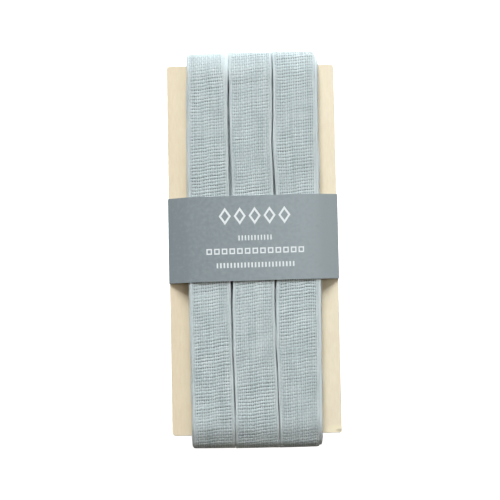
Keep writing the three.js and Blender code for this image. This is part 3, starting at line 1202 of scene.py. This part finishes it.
@dataclass
class PaperSleeve:
    """The paper band round card and ribbon: a strip folded to the card's edges and lapped behind.

    Sizes are in millimetres. Its section is a path through the middle of the paper, which starts
    inside the lap behind, runs round by the left edge, the front and the right edge, and ends on the
    outside of the lap. The paper is drawn a little thinner than the frame's, so that the lap is clear.
    """

    low: Array
    high: Array
    card_low: Array
    card_high: Array
    paper: float
    paper_share: float = 0.8
    height: float = 32.0
    lean: float = math.tan(math.radians(0.8))
    lap_half_width: float = 6.0
    edge_gap: float = 0.12
    shoulder_left: float = -24.2
    shoulder_right: float = 24.0
    shoulder_drop: float = 0.5
    shoulder_inset: float = 1.2
    fold_half_height: float = 0.75
    fold_radius: float = 0.35
    shoulder_radius: float = 0.9
    roll_inset: float = 0.5
    roll_radius: float = 3.5
    fold_limit: float = 0.45
    fold_steps: int = 6
    longest_step: float = 2.5
    rows: int = 25
    print_middle: float = 0.4
    crease_degrees: float = 50.0

    def folds(self) -> list[tuple[float, float, float]]:
        """X, Z and bend radius of each fold of the section, in order along the strip."""
        thin = self.paper_share * self.paper
        front = float(self.high[2]) - thin / 2
        middle = float(self.card_low[2] + self.card_high[2]) / 2
        edge = float(self.card_high[0]) + self.edge_gap + thin / 2
        left, right, inset = self.shoulder_left, self.shoulder_right, self.shoulder_inset
        inner, outer = 1.5 * self.paper, thin / 2
        fold, radius = self.fold_half_height, self.fold_radius
        return [
            (self.lap_half_width, inner, 0.0),
            (left + inset, inner, self.shoulder_radius),
            (left, inner + self.shoulder_drop, self.shoulder_radius),
            (-edge, middle - fold, radius),
            (-edge, middle + fold, radius),
            (left + self.roll_inset, front, self.roll_radius),
            (right - self.roll_inset, front, self.roll_radius),
            (edge, middle + fold, radius),
            (edge, middle - fold, radius),
            (right, outer + self.shoulder_drop, self.shoulder_radius),
            (right - inset, outer, self.shoulder_radius),
            (-self.lap_half_width, outer, 0.0),
        ]

    def section(self) -> Array:
        """The section's path, with its folds rounded and its long panels divided."""
        folds = self.folds()
        points = [np.array(folds[0][:2])]
        for before, (x, z, radius), after in zip(folds, folds[1:], folds[2:]):
            here = np.array([x, z])
            ends = []
            for other in (before, after):
                away = np.array(other[:2]) - here
                distance = float(np.linalg.norm(away))
                ends.append(here + away / distance * min(radius, distance * self.fold_limit))
            points += self._divided(points[-1], ends[0])
            for i in range(1, self.fold_steps + 1):
                t = i / self.fold_steps
                points.append((1 - t) ** 2 * ends[0] + 2 * t * (1 - t) * here + t**2 * ends[1])
        points += self._divided(points[-1], np.array(folds[-1][:2]))
        return np.array(points)

    def _divided(self, start: Array, end: Array) -> list[Array]:
        """Points from just after start up to end, no further apart than the longest step."""
        count = max(1, math.ceil(float(np.linalg.norm(end - start)) / self.longest_step))
        return [start + (end - start) * i / count for i in range(1, count + 1)]

    def build(self) -> Object:
        """Makes the sleeve and hides the frame's plain one."""
        path = self.section()
        tangent = np.gradient(path, axis=0)
        tangent /= np.linalg.norm(tangent, axis=1, keepdims=True)
        skin = self.paper_share * self.paper / 2 * np.column_stack([-tangent[:, 1], tangent[:, 0]])
        loop = np.concatenate([path + skin, (path - skin)[::-1]])
        centre_y = float(self.low[1] + self.high[1]) / 2
        rings = [
            np.column_stack([loop[:, 0], centre_y + y + self.lean * loop[:, 0], loop[:, 1]])
            for y in np.linspace(-self.height / 2, self.height / 2, self.rows)
        ]
        first_cut = np.arange(len(loop))
        caps = []
        for cut, turn in ((first_cut, 1), (first_cut + len(loop) * (self.rows - 1), -1)):
            outer, inner = cut[: len(path)], cut[: len(path) - 1 : -1]
            strip = np.column_stack([outer[:-1], inner[:-1], inner[1:], outer[1:]])
            caps += strip[:, ::turn].tolist()
        finish = PrintedPaper().material(SleeveOrnament(), (self.print_middle, centre_y), self.lean)
        piece = solid_of_rings("sleeve_paper", rings, caps, finish, self.crease_degrees)
        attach(piece, ROOT)
        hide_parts("paper_sleeve")
        report(piece)
        return piece


@dataclass(frozen=True)
class AcrylicTable:
    """Cast white acrylic sheet, matt and lit from below, so that it looks evenly white."""

    name: str = "white_acrylic_table"
    colour: str = "#FAFAFA"
    roughness: float = 0.9
    glow: float = 1.0

    def material(self) -> Material:
        """Builds the table's material."""
        material, tree, shader = new_material(self.name)
        finish = {
            "Base Color": linear(self.colour),
            "Roughness": self.roughness,
            "Emission Color": linear("#FFFFFF"),
            "Emission Strength": self.glow,
        }
        fill_sockets(tree, shader, finish)
        return material


@dataclass(frozen=True)
class SoftLight:
    """A soft box: a rectangular lamp that faces the part. Places and sizes are in metres."""

    name: str
    place: tuple[float, float, float]
    size: tuple[float, float]
    watts: float
    colour: tuple[float, float, float]

    def build(self) -> None:
        """Adds the lamp, turned to face the origin."""
        data = bpy.data.lights.new(self.name, "AREA")
        data.shape = "RECTANGLE"
        data.size, data.size_y = self.size
        data.energy = self.watts
        data.color = self.colour
        lamp = new_object(self.name, data)
        x, y, z = self.place
        lamp.location = self.place
        tilt, bearing = math.atan2(math.hypot(x, y), z), math.atan2(y, x) + math.pi / 2
        lamp.rotation_euler = Euler((tilt, 0.0, bearing), "XYZ")


@dataclass
class Studio:
    """A pale table, soft light from beyond the card's top end, and the camera over the part."""

    floor_size: float = 6.0
    world_colour: str = "#FFE9CB"
    world_strength: float = 0.075
    lamps: tuple[SoftLight, ...] = (
        SoftLight("window_light", (-0.13, 1.78, 0.92), (0.78, 0.96), 66.5, (0.9, 0.945, 0.99)),
        SoftLight("right_fill", (2.4, 0.6, 3.0), (2.0, 2.0), 28.0, (1.0, 0.98, 0.96)),
        SoftLight("left_fill", (-2.4, 0.6, 3.0), (2.0, 2.0), 13.0, (1.0, 0.98, 0.96)),
    )
    camera_place_mm: tuple[float, float, float] = (-24.48, -47.14, 623.4)
    camera_turn_degrees: tuple[float, float, float] = (4.343, -2.053, -1.118)
    lens_mm: float = 118.3
    sensor_mm: float = 36.0

    def build(self) -> None:
        """Makes the floor, the world, the lamps and the camera."""
        scene = bpy.context.scene
        scene.view_settings.view_transform = "Standard"
        world = bpy.data.worlds.new("studio_white")
        scene.world = world
        world.use_nodes = True
        background = next(node for node in world.node_tree.nodes if node.type == "BACKGROUND")
        light = {"Color": linear(self.world_colour), "Strength": self.world_strength}
        fill_sockets(world.node_tree, background, light)
        self._floor()
        for lamp in self.lamps:
            lamp.build()
        self._camera()

    def _floor(self) -> None:
        """A flat pale sheet under the part."""
        half = self.floor_size / 2
        mesh = bpy.data.meshes.new("table")
        corners = [(-half, -half, 0.0), (half, -half, 0.0), (half, half, 0.0), (-half, half, 0.0)]
        mesh.from_pydata(corners, [], [(0, 1, 2, 3)])
        mesh.materials.append(AcrylicTable().material())
        floor = new_object("table", mesh)
        floor.visible_diffuse = False

    def _camera(self) -> None:
        """The camera, nearly straight above, a little nearer the card's lower end."""
        data = bpy.data.cameras.new("camera")
        data.lens = self.lens_mm
        data.sensor_width = self.sensor_mm
        camera = new_object("camera", data)
        camera.location = [value * MM for value in self.camera_place_mm]
        camera.rotation_euler = Euler([math.radians(a) for a in self.camera_turn_degrees], "XYZ")
        bpy.context.scene.camera = camera


SLEEVE_PAPER_MM = 0.25


def main() -> None:
    """Builds the studio and then every piece."""
    logging.basicConfig(level=logging.INFO, format="%(name)s: %(message)s")
    Studio().build()
    card_box, winding_box, sleeve_box = (node_box_mm(n) for n in ("card", "ribbon_winding", "paper_sleeve"))
    Board(*card_box).build()
    RibbonWinding(*card_box, winding_box[0], *sleeve_box, SLEEVE_PAPER_MM).build()
    PaperSleeve(*sleeve_box, *card_box, SLEEVE_PAPER_MM).build()


if __name__ == "__main__":
    main()
